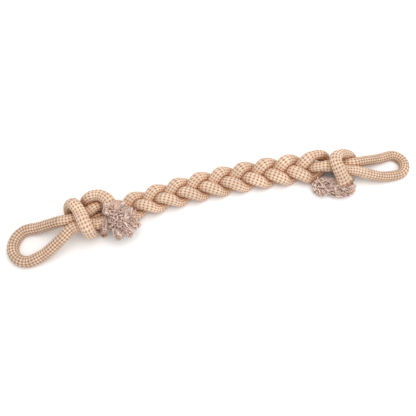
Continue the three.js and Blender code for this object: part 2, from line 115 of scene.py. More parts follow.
RIGHT_LEG_C: Rows = (
    (0.9, 0.38, 1.16, 0.76, 1),
    (0.2, 0.46, 1, 0.74, 0.85),
    (-0.45, 0.46, 0.79, 0.74, 0.72),
    (-1, 0.34, 0.74, 0.76, 0.72),
    (-1.52, 0.12, 0.68, 0.78, 0.7),
)
LEFT_TURNS: Rows = (
    (2, -0.04, 0.68, 0.82, 0.8),
    (1.2, 0.08, 0.94, 0.74, 1),
    (0.3, 0, 1.03, 0.7, 1),
    (-0.3, 0.1, 0.95, 0.7, 1),
    (-0.76, 0.62, 0.76, 0.74, 0.95),
    (-0.96, 1.3, 1.06, 0.82, 0.88),
    (-0.8, 1.56, 1.76, 0.88, 0.8),
    (-0.46, 1.38, 2.34, 0.9, 0.78),
    (-0.2, 0.84, 2.5, 0.9, 0.76),
    (0, 0.2, 2.46, 0.9, 0.76),
    (0.12, -0.42, 2.44, 0.9, 0.76),
    (0.24, -1, 2.12, 0.9, 0.76),
    (0.32, -1.21, 1.5, 0.9, 0.76),
    (0.4, -1.06, 0.9, 0.9, 0.76),
    (0.5, -0.6, 0.33, 0.9, 0.74),
    (0.56, 0, 0.24, 0.88, 0.74),
    (0.58, 0.6, 0.33, 0.9, 0.74),
    (0.54, 1.14, 0.84, 0.9, 0.76),
    (0.52, 1.38, 1.42, 0.9, 0.78),
    (0.64, 1.46, 1.94, 0.9, 0.8),
    (1.06, 1.42, 2.28, 0.9, 0.82),
    (1.66, 1.2, 2.42, 0.9, 0.86),
    (2.12, 0.76, 2.46, 0.9, 0.88),
    (2.36, 0.28, 2.4, 0.9, 0.9),
)
LEFT_TAIL: Rows = ((2.46, -0.14, 2.26, 0.9, 0.9), (2.52, -0.5, 2.1, 0.9, 0.9))


class YarnKind(Enum):
    """Which yarn of the rope a tuft is made of."""

    CORE = "core"
    COVER = "cover"


class Joint(Enum):
    """The bends of the toy, by the names of its joints."""

    PLAIT_LEFT = "plait_left_bend"
    PLAIT_RIGHT = "plait_right_bend"
    LEFT_KNOT = "left_knot_lift"
    RIGHT_KNOT = "right_knot_lift"
    LEFT_LOOP = "left_loop_swing"
    RIGHT_LOOP = "right_loop_swing"
    LEFT_TAIL = "left_tail_lift"
    RIGHT_TAIL = "right_tail_lift"


TAILS = (Joint.LEFT_TAIL, Joint.RIGHT_TAIL)


def linear(code: str) -> tuple[float, float, float, float]:
    """Turn an sRGB hex colour into linear light.

    Args:
        code: Six hex digits after a hash sign.

    Returns:
        Red, green, blue and an alpha of one.
    """
    shares = [int(code[i : i + 2], 16) / 255 for i in (1, 3, 5)]
    light = [s / 12.92 if s <= 0.04045 else ((s + 0.055) / 1.055) ** 2.4 for s in shares]
    return (light[0], light[1], light[2], 1.0)


def smooth(share: np.ndarray | float) -> np.ndarray:
    """Ease a share from 0 to 1 with no corner at either end."""
    held = np.clip(share, 0.0, 1.0)
    return held * held * (3 - 2 * held)


def unit(vectors: np.ndarray) -> np.ndarray:
    """Scale vectors to length one."""
    return vectors / np.maximum(np.linalg.norm(vectors, axis=-1, keepdims=True), 1e-12)


def add_node(
    tree: bpy.types.NodeTree,
    kind: str,
    settings: dict[str, object] | None = None,
    inputs: dict[str | int, object] | None = None,
) -> bpy.types.Node:
    """Add a shader node with its settings, and fill or link its inputs.

    Args:
        tree: The material's node tree.
        kind: The node's type name.
        settings: Properties of the node.
        inputs: A value or another node's output for each named or numbered input.

    Returns:
        The new node.
    """
    node = tree.nodes.new(kind)
    for name, value in (settings or {}).items():
        setattr(node, name, value)
    for name, value in (inputs or {}).items():
        if isinstance(value, bpy.types.NodeSocket):
            tree.links.new(value, node.inputs[name])
        else:
            node.inputs[name].default_value = value
    return node


def add_material(name: str, values: dict[str, object]) -> tuple[bpy.types.Material, bpy.types.Node]:
    """Make a material and set the plain values of its shader.

    Args:
        name: Its name.
        values: A value for each named input of the shader.

    Returns:
        The material and its shader.
    """
    material = bpy.data.materials.new(name)
    material.use_nodes = True
    shader = material.node_tree.nodes["Principled BSDF"]
    for socket, value in values.items():
        shader.inputs[socket].default_value = value
    return material, shader


def toned(
    tree: bpy.types.NodeTree, colour: bpy.types.NodeSocket, *tones: tuple[object, ...]
) -> bpy.types.NodeSocket:
    """Darken and brighten a colour by several shares in turn.

    Args:
        tree: The material's node tree.
        colour: The colour to start from.
        tones: Each share, with the two values of it that matter and the tones that they stand for.

    Returns:
        The toned colour.
    """
    for tone in tones:
        ranged = add_node(tree, "ShaderNodeMapRange", {}, dict(zip(RANGE_INPUTS, tone)))
        scaled = {0: colour, "Scale": ranged.outputs["Result"]}
        colour = add_node(tree, "ShaderNodeVectorMath", {"operation": "SCALE"}, scaled).outputs[0]
    return colour


def tube(rows: np.ndarray, columns: np.ndarray) -> tuple[np.ndarray, np.ndarray, np.ndarray]:
    """Number the corners of a closed tube of points, ring after ring, and spread them on a flat grid.

    Args:
        rows: Place of each ring along the grid.
        columns: Place of each point of a ring across the grid, and of the first point once more.

    Returns:
        The point at each corner of each face, with the two end faces last; where each face starts among the
        corners; and each corner's place on the grid.
    """
    sides = len(columns) - 1
    side = np.arange(sides)
    turn = (side + 1) % sides
    ring = np.arange(len(rows) - 1)[:, None] * sides
    quads = np.stack([ring + side, ring + turn, ring + sides + turn, ring + sides + side], axis=-1)
    corners = np.concatenate([quads.ravel(), side[::-1], (len(rows) - 1) * sides + side])
    starts = np.concatenate([np.arange(quads.size // 4) * 4, [quads.size, quads.size + sides]])
    across = np.stack([columns[:-1], columns[1:], columns[1:], columns[:-1]], axis=-1)
    along = np.stack([rows[:-1], rows[:-1], rows[1:], rows[1:]], axis=-1)
    walls = np.stack(np.broadcast_arrays(across[None], along[:, None]), axis=-1).reshape(-1, 2)
    ends = np.stack([np.tile(columns[:-1], 2), np.repeat(rows[[0, -1]], sides)], axis=-1)
    return corners, starts, np.concatenate([walls, ends])


def add_piece(
    name: str,
    points: np.ndarray,
    faces: tuple[np.ndarray, np.ndarray],
    paint: tuple[str, np.ndarray],
    grid: tuple[str, np.ndarray],
    material: bpy.types.Material,
) -> bpy.types.Object:
    """Make an object of points and smooth faces.

    Args:
        name: Its name.
        points: Its points.
        faces: The point at each corner of each face, and where each face starts among the corners.
        paint: Name of the colours that its finish reads, and three shares for each point.
        grid: Name of the map that its finish reads, and each corner's place on it.
        material: Its finish.

    Returns:
        The new object.
    """
    corners, starts = faces
    mesh = bpy.data.meshes.new(name)
    mesh.vertices.add(len(points))
    mesh.vertices.foreach_set("co", points.astype(np.float32).ravel())
    mesh.loops.add(len(corners))
    mesh.loops.foreach_set("vertex_index", corners.astype(np.int32))
    mesh.polygons.add(len(starts))
    mesh.polygons.foreach_set("loop_start", starts.astype(np.int32))
    mesh.update(calc_edges=True)
    colours = np.concatenate([paint[1], np.ones((len(points), 1))], axis=1)
    layer = mesh.attributes.new(paint[0], "FLOAT_COLOR", "POINT")
    layer.data.foreach_set("color", colours.astype(np.float32).ravel())
    mesh.uv_layers.new(name=grid[0]).data.foreach_set("uv", grid[1].astype(np.float32).ravel())
    mesh.validate()
    mesh.materials.append(material)
    piece = bpy.data.objects.new(name, mesh)
    bpy.context.scene.collection.objects.link(piece)
    return piece


@dataclass(frozen=True)
class WayPoint:
    """One place on the rope's route."""

    at: Triple
    girth: float  # the rope's width there, in rope diameters
    flatness: float  # its thickness over its width
    press: Triple  # the direction in which it is pressed flat


@dataclass(frozen=True)
class LoopSize:
    """Sizes of one loop handle."""

    length: float  # from the middle of the knot to the tip
    width: float  # between the middles of the legs
    leg_up: float  # height of the legs at the knot, in rope diameters
    girth: float  # of the rope, in rope diameters
    tip_turn: float  # how far the tip is turned to the far side, in rope diameters


@dataclass(frozen=True)
class ToyLay:
    """How the rope is laid to and fro, plaited and wound. Lengths are in rope diameters unless said."""

    diameter: float = 0.015  # of the rope, in metres
    plait_steps: int = 9  # bumps along one edge of the plait
    plait_step: float = 1.9  # from bump to bump
    plait_swing: float = 0.84  # how far a strand swings to either side
    plait_rise: float = 0.52  # how far it goes over and under
    plait_girth: float = 0.85
    plait_flatness: float = 0.66
    plait_taper: float = 0.12  # how much thinner the plait is at its left end, as a share
    plait_twist: float = math.radians(14)  # how far either end is rolled
    left_lead: float = 2.9  # from the left knot to the plait
    right_lead: float = 2.1  # from the plait to the right knot
    knot_axis_height: float = 1.4
    flat_depth: float = 0.1  # how much of the rope the table presses flat
    leg_out: float = 0.9  # from the middle of a knot to where the loop begins
    leg_across: float = 0.38  # from the middle line to a leg of the loop there
    leg_down: float = 0.75  # share of the loop over which its legs come down to the table
    leg_bow: float = 0.25  # how far the near leg bows outwards
    leg_shares: Triple = (0.25, 0.5, 0.75)  # where the way points of a leg lie
    tip_margin: float = 0.2  # angle from the end of a leg to the tip's first way point
    tip_points: int = 7
    neck_girth: float = 0.74  # of the rope where the loop begins
    girth_gain: float = 0.2  # how fast it widens from there
    bow_radius: float = 0.83  # of the arc that the toy lies in, in metres
    right_sidestep: float = 0.55  # how far the right end lies to the near side of that arc
    sidestep_before: float = 3.5  # from where the side step begins to the right knot
    sidestep_length: float = 5.0
    filling: float = 1.2  # the soft rope fills the plait and the knots more than its solid does
    widest: float = 1.0
    left_loop: LoopSize = LoopSize(0.091, 0.042, 1.63, 0.9, 0.0)
    right_loop: LoopSize = LoopSize(0.084, 0.029, 1.16, 0.82, 0.17)

    @property
    def step(self) -> float:
        """Length of one bump along an edge of the plait."""
        return self.plait_step * self.diameter

    @property
    def plait_length(self) -> float:
        """Length of the whole plait."""
        return self.plait_steps * self.step

    @property
    def right_knot(self) -> float:
        """Place of the right knot along the toy; the left knot is as far the other way."""
        return (self.plait_length + (self.left_lead + self.right_lead) * self.diameter) / 2

    @property
    def left_knot(self) -> float:
        """Place of the left knot along the toy."""
        return -self.right_knot

    @property
    def plait_start(self) -> float:
        """Left end of the plait."""
        return self.left_knot + self.left_lead * self.diameter

    @property
    def plait_end(self) -> float:
        """Right end of the plait."""
        return self.plait_start + self.plait_length

    def middle_line(self, along: float) -> float:
        """Find how far the toy's middle line lies to the side.

        Args:
            along: Place along the toy.

        Returns:
            The side step there: an arc between the knots, half as steep in the loops.
        """
        inside = min(max(along, self.left_knot), self.right_knot)
        outside = abs(along - inside)
        arc = (inside**2 + outside * abs(inside)) / (2 * self.bow_radius)
        start = self.right_knot - self.sidestep_before * self.diameter
        step = float(smooth((along - start) / (self.sidestep_length * self.diameter)))
        return -arc - self.right_sidestep * self.diameter * step

    def lying(self, along: float, across: float, up: float) -> Triple:
        """Give the place for a distance along, across and above the toy."""
        return (along, across + self.middle_line(along), up)

    def knot(self, middle: float, rows: Rows) -> list[WayPoint]:
        """Lay one stretch of rope in a knot.

        Args:
            middle: Place of the knot along the toy.
            rows: The stretch's way points, in rope diameters.

        Returns:
            The way points in metres.
        """
        size = self.diameter
        return [
            WayPoint(
                self.lying(middle + along * size, across * size, up * size),
                min(girth * self.filling, self.widest),
                flatness,
                (0.0, across, up - self.knot_axis_height),
            )
            for along, across, up, girth, flatness in rows
        ]

    def run(self, strand: int, start: float, stop: float) -> list[WayPoint]:
        """Lay one run of the plait.

        Args:
            strand: Number of the run; each follows the last by a third of a turn.
            start: Place along the toy where the run starts.
            stop: Place where it stops.

        Returns:
            The way points in metres.
        """
        way = []
        count = round(abs(stop - start) / (self.step / 3))
        for i in range(count + 1):
            x = start + (stop - start) * i / count
            turn = 2 * math.pi * (x - self.plait_start) / (3 * self.step)
            phase = turn + math.pi / 2 + strand * 2 * math.pi / 3
            roll = self.plait_twist * 2 * x / self.plait_length
            size = 1 - self.plait_taper * max(0.0, self.plait_end - x) / self.plait_length
            across = self.plait_swing * math.sin(phase)
            rise = self.plait_rise * math.sin(2 * phase)
            tilt = math.sqrt(0.5) * self.plait_swing * abs(math.sin(roll))
            half = self.plait_girth * self.plait_flatness / 2
            height = self.plait_rise * math.cos(roll) + tilt + half
            y = size * (across * math.cos(roll) - rise * math.sin(roll))
            z = size * (height + across * math.sin(roll) + rise * math.cos(roll)) - self.flat_depth
            place = self.lying(x, y * self.diameter, z * self.diameter)
            girth = min(size * self.plait_girth * self.filling, self.widest)
            way.append(WayPoint(place, girth, self.plait_flatness, (0.0, -math.sin(roll), math.cos(roll))))
        return way

    def loop(self, knot: float, outward: int, size: LoopSize) -> list[WayPoint]:
        """Lay a loop from its far leg round the tip to its near leg.

        Args:
            knot: Place of its knot along the toy.
            outward: -1 for the left loop and 1 for the right one.
            size: Sizes of the loop.

        Returns:
            The way points in metres.
        """
        radius, start = size.width / 2, self.leg_out * self.diameter
        neck, leg_end = self.leg_across * self.diameter, size.length - radius
        legs = [(start + (leg_end - start) * f, neck + (radius - neck) * f) for f in self.leg_shares]
        bows = [self.leg_bow * self.diameter * math.sin(math.pi * f) for f in self.leg_shares]
        near = [(out, -across - bow) for (out, across), bow in zip(legs, bows)]
        half_turn = math.pi - 2 * self.tip_margin
        turn = [self.tip_margin + half_turn * i / (self.tip_points - 1) for i in range(self.tip_points)]
        tip = [(leg_end + radius * math.sin(a), radius * math.cos(a)) for a in turn]
        way = []
        for out, across in legs + tip + near[::-1]:
            reach = (out - start) / (size.length - start)
            share = float(smooth(reach / self.leg_down))
            up = size.leg_up + (size.girth / 2 - self.flat_depth - size.leg_up) * share
            girth = min(size.girth, self.neck_girth + self.girth_gain * (out / self.diameter - self.leg_out))
            turned = across + size.tip_turn * self.diameter * reach**2
            place = self.lying(knot + outward * out, turned, up * self.diameter)
            way.append(WayPoint(place, girth, 1.0, (0.0, 0.0, 1.0)))
        return way

    def route(self) -> dict[str, list[WayPoint]]:
        """Lay the whole rope from its right end to its left end, stretch by stretch.

        Returns:
            The way points of each stretch, by its name.
        """
        left, right = self.left_knot, self.right_knot
        return {
            "right_tail": self.knot(right, RIGHT_TAIL),
            "right_turns": self.knot(right, RIGHT_TURNS),
            "run_a": self.run(0, self.plait_end - self.step / 3, self.plait_start),
            "left_leg_a": self.knot(left, LEFT_LEG_A),
            "left_loop": self.loop(left, -1, self.left_loop),
            "left_leg_b": self.knot(left, LEFT_LEG_B),
            "run_b": self.run(1, self.plait_start, self.plait_end - self.step / 3),
            "right_leg_b": self.knot(right, RIGHT_LEG_B),
            "right_loop": self.loop(right, 1, self.right_loop)[::-1],
            "right_leg_c": self.knot(right, RIGHT_LEG_C),
            "run_c": self.run(2, self.plait_end, self.plait_start),
            "left_turns": self.knot(left, LEFT_TURNS),
            "left_tail": self.knot(left, LEFT_TAIL),
        }


@dataclass(frozen=True)
class RopeStock:
    """The rope as it comes off the reel: a tube braided of tan and cream yarns over a core."""

    diameter: float = 0.015
    core_diameter: float = 0.009
    columns: int = 12  # yarns that run each way round the cover
    stitch: float = 0.00375  # from one ring of stitches to the next
    crimp: float = 0.00022  # how far a yarn rises over the yarn that it crosses
    crown: float = 0.00055  # height of a yarn's rounded back
    thin: float = 0.0002  # how much lower the tan yarn lies, being thinner
    tan_slimness: float = 2.3  # from yarn to yarn, over half the width of a tan yarn
    cream_slimness: float = 1.5  # the same for the cream yarns, which are wide and run together
    seam: float = 0.0003  # difference in height over which one yarn's colour gives way to the other's
    sunk: float = 0.6  # share of the crown that lies below the rope's measured surface
    # painted shade: a lower share deepens the painted crease shade on the loops, so that they are painted
    # darker
    loop_shade_share: float = 0.76  # share of the stitches' height on the loops, where the rope is pulled
    sides_per_column: int = 7
    rings_per_stitch: int = 6
    seed: int = 12

    @property
    def sides(self) -> int:
        """Points round one ring of the cover."""
        return self.columns * self.sides_per_column

    def braid(self, columns: np.ndarray, rows: np.ndarray) -> tuple[np.ndarray, np.ndarray]:
        """Work out the stitches of the cover, each yarn over one and under one.

        Args:
            columns: Place round the rope, in stitches.
            rows: Place along the rope, in stitches.

        Returns:
            The height of the yarn on top, and for each point three shares: how far it is on a tan yarn, how
            high it is between crease and crown, and the tone of its yarn.
        """
        u, v = columns - rows, columns + rows
        tan_yarn, cream_yarn = np.round(u), np.round(v)
        tan_back = np.sqrt(np.maximum(0.0, 1 - (self.tan_slimness * (u - tan_yarn)) ** 2))
        tan = self.crimp * np.cos(np.pi * (v - tan_yarn)) + self.crown * tan_back - self.thin
        cream = np.full(u.shape, -1.0)
        for beside in (-1, 0, 1):
            back = np.sqrt(np.maximum(0.0, 1 - (self.cream_slimness * (v - cream_yarn - beside)) ** 2))
            crossing = -self.crimp * np.cos(np.pi * (cream_yarn + beside - u)) + self.crown * back
            cream = np.where(back > 0, np.maximum(cream, crossing), cream)
        height = np.maximum(tan, cream)
        tones = np.random.default_rng(self.seed).random((2, self.columns))
        tan_tone = tones[0][np.mod(tan_yarn, self.columns).astype(int)]
        cream_tone = tones[1][np.mod(cream_yarn, self.columns).astype(int)]
        on_tan = np.clip(0.5 + (tan - cream) / self.seam, 0, 1)
        high = np.clip(height / (self.crimp + self.crown), 0, 1)
        return height, np.stack([on_tan, high, np.where(tan > cream, tan_tone, cream_tone)], axis=-1)


@dataclass(frozen=True)
class Squeeze:
    """How the soft rope gives way where it lies against itself or on the table."""

    recovery: float = 0.25  # share of its solid's flattening that the soft rope doesn't have
    every: int = 3  # rings from one that is measured to the next
    sides: int = 24  # directions that are measured round a ring
    apart: float = 2.2  # diameters along the rope from which two rings are of different stretches
    close: float = 1.7  # diameters between two rings that can touch
    least: float = 0.4  # share of the free reach that is always left
    halvings: int = 8  # steps in the search for the place where two stretches meet
    clear: float = 0.02  # share of the free reach that is left open there
    passes: int = 2  # times that the result is smoothed
    table_gap: float = 0.0002  # kept between the rope and the table
    table_relief: float = 0.1  # share of the stitches' height that shows on the underside


@dataclass(frozen=True)
class CutEnd:
    """How the cover opens at a cut end of the rope, where its yarns come loose in folds."""

    length: float  # of the stretch that opens
    wide: float  # how far it opens, as a share of half the rope's width
    ease: float = 1.6  # how late along the stretch it does so

    def flare(self, back: np.ndarray, angles: np.ndarray) -> np.ndarray:
        """Work out how far the cover opens, in four wide folds and seven narrow ones.

        Args:
            back: Distance of each ring from the cut end.
            angles: Angles round the rope.

        Returns:
            The share of the free reach to add for every ring and angle.
        """
        open_end = np.clip(1 - back / self.length, 0, 1)[:, None] ** self.ease
        folds = 0.72 + 0.2 * np.cos(4 * angles + 0.7) + 0.08 * np.cos(7 * angles)
        return self.wide * open_end * 2 * folds


@dataclass
class Rope:
    """The one rope of the toy, as rings of points along its whole route."""

    lay: ToyLay
    stock: RopeStock
    shift: np.ndarray  # from the route's own middle to the origin of the solids
    squeeze: Squeeze = Squeeze()
    right_end: CutEnd = CutEnd(0.013, 0.42)
    left_end: CutEnd = CutEnd(0.01, 0.15)
    rim: Pair = (0.0015, 0.004)  # from a cut end to where only tan is seen, and to both yarns
    curve_steps: int = 24  # points of the curve from one way point to the next

    def __post_init__(self) -> None:
        """Follow the route and work out the cover's surface."""
        self.first: dict[str, int] = {}
        way: list[WayPoint] = []
        for name, stretch in self.lay.route().items():
            self.first[name] = len(way)
            way.extend(stretch)
        self._follow(way)
        self._frame()
        self._cover()

    def _follow(self, way: list[WayPoint]) -> None:
        """Thread a smooth curve through the way points and step along it evenly.

        Args:
            way: The way points of the whole route.
        """
        knots = np.array([w.at for w in way]) + self.shift
        ends = np.vstack([2 * knots[0] - knots[1], knots, 2 * knots[-1] - knots[-2]])
        share = np.linspace(0, 1, self.curve_steps, endpoint=False)[:, None]
        dense = []
        for i in range(1, len(ends) - 2):
            p0, p1, p2, p3 = ends[i - 1 : i + 3]
            d0, d1, d2 = (math.sqrt(float(np.linalg.norm(b - a))) for a, b in ((p0, p1), (p1, p2), (p2, p3)))
            t1 = ((p1 - p0) / d0 - (p2 - p0) / (d0 + d1) + (p2 - p1) / d1) * d1
            t2 = ((p2 - p1) / d1 - (p3 - p1) / (d1 + d2) + (p3 - p2) / d2) * d1
            bend = 3 * (p2 - p1) - 2 * t1 - t2
            dense.append(p1 + t1 * share + bend * share**2 + (t1 + t2 - 2 * (p2 - p1)) * share**3)
        line = np.vstack([*dense, knots[-1:]])
        run = np.concatenate([[0.0], np.cumsum(np.linalg.norm(np.diff(line, axis=0), axis=1))])
        place = np.arange(len(line)) / len(share)
        count = round(run[-1] / self.stock.stitch * self.stock.rings_per_stitch)
        self.length = float(run[-1])
        self.run = np.linspace(0, self.length, count + 1)
        self.at = np.stack([np.interp(self.run, run, line[:, k]) for k in range(3)], axis=1)
        self.place = np.interp(self.run, run, place)
        numbers = np.arange(len(way))
        flatness = np.array([w.flatness for w in way])
        self.girth = np.interp(self.place, numbers, np.array([w.girth for w in way]))
        self.flatness = np.interp(self.place, numbers, flatness + self.squeeze.recovery * (1 - flatness))
        press = unit(np.array([w.press for w in way]))
        for i in range(1, len(press)):
            if press[i] @ press[i - 1] < 0:
                press[i] = -press[i]
        self.press = np.stack([np.interp(self.place, numbers, press[:, k]) for k in range(3)], axis=1)

    def _frame(self) -> None:
        """Carry two directions across the rope along it, without twisting them."""
        self.along = unit(np.gradient(self.at, axis=0))
        press = self.press - (self.press * self.along).sum(1, keepdims=True) * self.along
        self.press = unit(press)
        self.side = np.empty_like(self.at)
        last = np.array([0.0, 0.0, 1.0])
        for i, along in enumerate(self.along):
            last = last - (last @ along) * along
            last = last / np.linalg.norm(last)
            self.side[i] = last
        self.over = np.cross(self.along, self.side)

    def reach(self, rings: np.ndarray, angles: np.ndarray) -> np.ndarray:
        """Give the free reach of the cover from the middle of the rope.

        Args:
            rings: Numbers of the rings.
            angles: Angles round the rope.

        Returns:
            One vector for each ring and angle.
        """
        spoke = np.cos(angles)[None, :, None] * self.side[rings][:, None, :]
        spoke = spoke + np.sin(angles)[None, :, None] * self.over[rings][:, None, :]
        press = self.press[rings][:, None, :]
        squeezed = (self.flatness[rings][:, None] - 1) * (spoke * press).sum(-1)
        spoke = spoke + squeezed[..., None] * press
        return spoke * (self.girth[rings] * self.stock.diameter / 2)[:, None, None]

    def depth(self, points: np.ndarray, rings: np.ndarray) -> np.ndarray:
        """Measure how deep points lie in the rope: 0 in its middle and 1 on its free surface.

        Args:
            points: Any number of points.
            rings: Numbers of the rings to measure from.

        Returns:
            One measure for each point and ring.
        """
        gap = points[..., None, :] - self.at[rings]
        pressed = (gap * self.press[rings]).sum(-1)
        flat = 1 / self.flatness[rings] ** 2 - 1
        away = np.sqrt((gap**2).sum(-1) + flat * pressed**2)
        return away / (self.girth[rings] * self.stock.diameter / 2)

    def _squeeze(self) -> np.ndarray:
        """Flatten the rope where it lies against another stretch of itself.

        Returns:
            For every ring and side of the cover, the share of the free reach that is left.
        """
        how, size = self.squeeze, self.stock.diameter
        rings = np.arange(0, len(self.at), how.every)
        angles = np.linspace(0, 2 * math.pi, how.sides, endpoint=False)
        reach = self.reach(rings, angles)
        share = np.ones(reach.shape[:2])
        for i, ring in enumerate(rings):
            apart = np.abs(self.run[rings] - self.run[ring]) > how.apart * size
            close = np.linalg.norm(self.at[rings] - self.at[ring], axis=1) < how.close * size
            others = rings[apart & close]
            if len(others) == 0:
                continue
            low, high = np.full(how.sides, how.least), np.ones(how.sides)
            free = self.depth(self.at[ring] + reach[i], others).min(-1) >= 1
            for _ in range(how.halvings):
                middle = (low + high) / 2
                outside = self.depth(self.at[ring] + middle[:, None] * reach[i], others).min(-1) > middle
                low, high = np.where(outside, middle, low), np.where(outside, high, middle)
            share[i] = np.where(free, 1.0, low - how.clear)
        for _ in range(how.passes):
            share = (np.roll(share, 1, 1) + 2 * share + np.roll(share, -1, 1)) / 4
            ends = np.vstack([share[:1], share, share[-1:]])
            share = (ends[:-2] + 2 * share + ends[2:]) / 4
        fine = np.linspace(0, how.sides, self.stock.sides, endpoint=False)
        low = np.floor(fine).astype(int)
        rest = fine - low
        round_it = share[:, low] * (1 - rest) + share[:, (low + 1) % how.sides] * rest
        number = np.minimum(np.arange(len(self.at)) / how.every, len(rings) - 1)
        low = np.minimum(number.astype(int), len(rings) - 2)
        rest = (number - low)[:, None]
        return round_it[low] * (1 - rest) + round_it[low + 1] * rest

    def _cover(self) -> None:
        """Work out every point of the braided cover, and the shares that its finish is painted from."""
        stock = self.stock
        angles = np.linspace(0, 2 * math.pi, stock.sides, endpoint=False)
        columns = angles * stock.columns / (2 * math.pi)
        rows = self.run / stock.stitch
        height, self.shares = stock.braid(columns[None, :], rows[:, None])
        # Painted shade: the loops get a deeper painted crease shade.
        for loop, leg in (("left_loop", "left_leg_b"), ("right_loop", "right_leg_c")):
            self.shares[self.ring_at(loop, 0) : self.ring_at(leg, 0), :, 1] *= stock.loop_shade_share
        back = self.length - self.run
        only_tan, both = self.rim
        rim = np.clip((both - np.minimum(self.run, back)) / (both - only_tan), 0, 1)[:, None]
        self.shares[..., 0] = np.maximum(self.shares[..., 0], rim)
        reach = self.reach(np.arange(len(self.at)), angles)
        flare = 1 + self.right_end.flare(self.run, angles) + self.left_end.flare(back, angles)
        size = np.linalg.norm(reach, axis=-1) * self._squeeze() * flare
        shape = size - stock.crown * stock.sunk + height
        self.points = self.at[:, None, :] + unit(reach) * shape[..., None]
        lowest = self.squeeze.table_gap + self.squeeze.table_relief * height
        self.points[..., 2] = np.maximum(self.points[..., 2], lowest)

    def ring_at(self, stretch: str, place: float) -> int:
        """Find the ring at a way point of a stretch, counted from its first way point."""
        return int(np.argmin(np.abs(self.place - self.first[stretch] - place)))

    def ring_along(self, stretch: str, along: float) -> int:
        """Find the ring where a run of the plait passes a place along the toy.

        Args:
            stretch: The run.
            along: The place, in the frame of the solids.

        Returns:
            The ring's number.
        """
        names = list(self.first)
        after = names[names.index(stretch) + 1]
        inside = (self.place >= self.first[stretch]) & (self.place <= self.first[after])
        return int(np.argmin(np.where(inside, np.abs(self.at[:, 0] - along), np.inf)))

    def piece(self, name: str, start: int, stop: int, material: bpy.types.Material) -> bpy.types.Object:
        """Make a closed length of the rope's cover.

        Args:
            name: Name of the piece.
            start: Its first ring.
            stop: Its last ring.
            material: Its finish.

        Returns:
            The new object.
        """
        rings, stock = slice(start, stop + 1), self.stock
        columns = np.arange(stock.sides + 1) / stock.sides_per_column
        corners, starts, grid = tube(self.run[rings] / stock.stitch, columns)
        points, shares = self.points[rings].reshape(-1, 3), self.shares[rings].reshape(-1, 3)
        piece = add_piece(name, points, (corners, starts), ("stitch", shares), ("stitches", grid), material)
        flat = np.zeros(len(starts), bool)
        flat[-2:] = True  # the two end faces
        piece.data.attributes.new("sharp_face", "BOOLEAN", "FACE").data.foreach_set("value", flat)
        return piece

    def push_out(self, points: np.ndarray, rings: np.ndarray, clear: float) -> np.ndarray:
        """Move points that lie in the rope out to its surface.

        Args:
            points: The points.
            rings: Numbers of the rings that they stay clear of.
            clear: Kept between a point and the rope.

        Returns:
            The moved points.
        """
        margin = clear / (self.stock.diameter / 2)
        depth = self.depth(points, rings)
        nearest = depth.argmin(-1)
        least = np.take_along_axis(depth, nearest[:, None], 1)[:, 0]
        middle = self.at[rings[nearest]]
        away = (1.0 + margin) / np.maximum(least, 0.2)  # a point near the middle goes five times as far at most
        return np.where((least < 1 + margin)[:, None], middle + (points - middle) * away[:, None], points)


